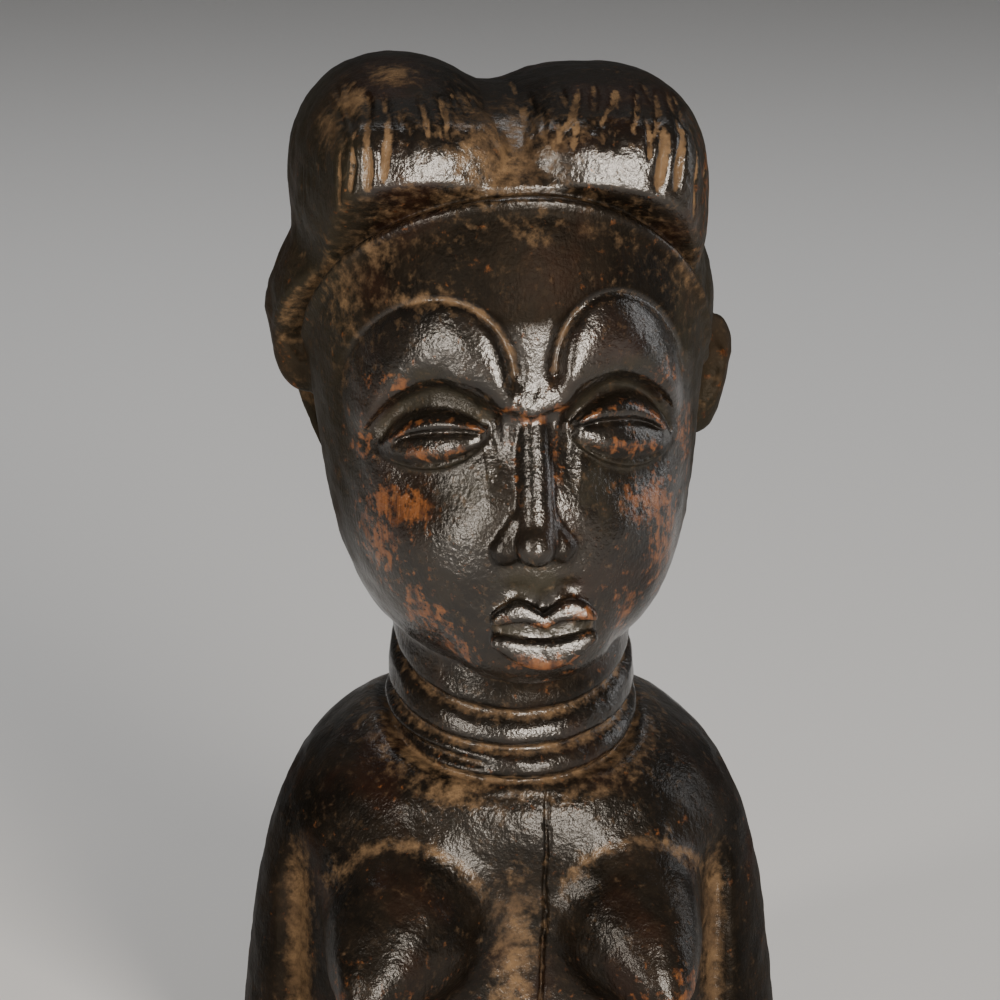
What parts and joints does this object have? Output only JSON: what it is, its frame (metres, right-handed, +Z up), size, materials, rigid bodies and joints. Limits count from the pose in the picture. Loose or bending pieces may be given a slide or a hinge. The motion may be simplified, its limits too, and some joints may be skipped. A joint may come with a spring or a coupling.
{
  "type": "carved wooden figure bust",
  "caption": "Carved wooden bust of a female figure with crested hair, a ringed neck and narrow shoulders, cut flat below the breasts; it stands on its flat underside for display.",
  "frame": {"origin": "centre of the flat underside, below the axis of the neck", "axes": "+Z up along the figure, the face looks toward -Y, +X is the viewer's right"},
  "size_m": [0.1042, 0.0939, 0.1982],
  "materials": {
    "carved_wood": "near-black glossy patina over reddish brown hardwood, worn to orange wood on high spots, tan dust in the cuts"
  },
  "bodies": {
    "root": {"figure": "carved_wood"}
  },
  "joints": []
}
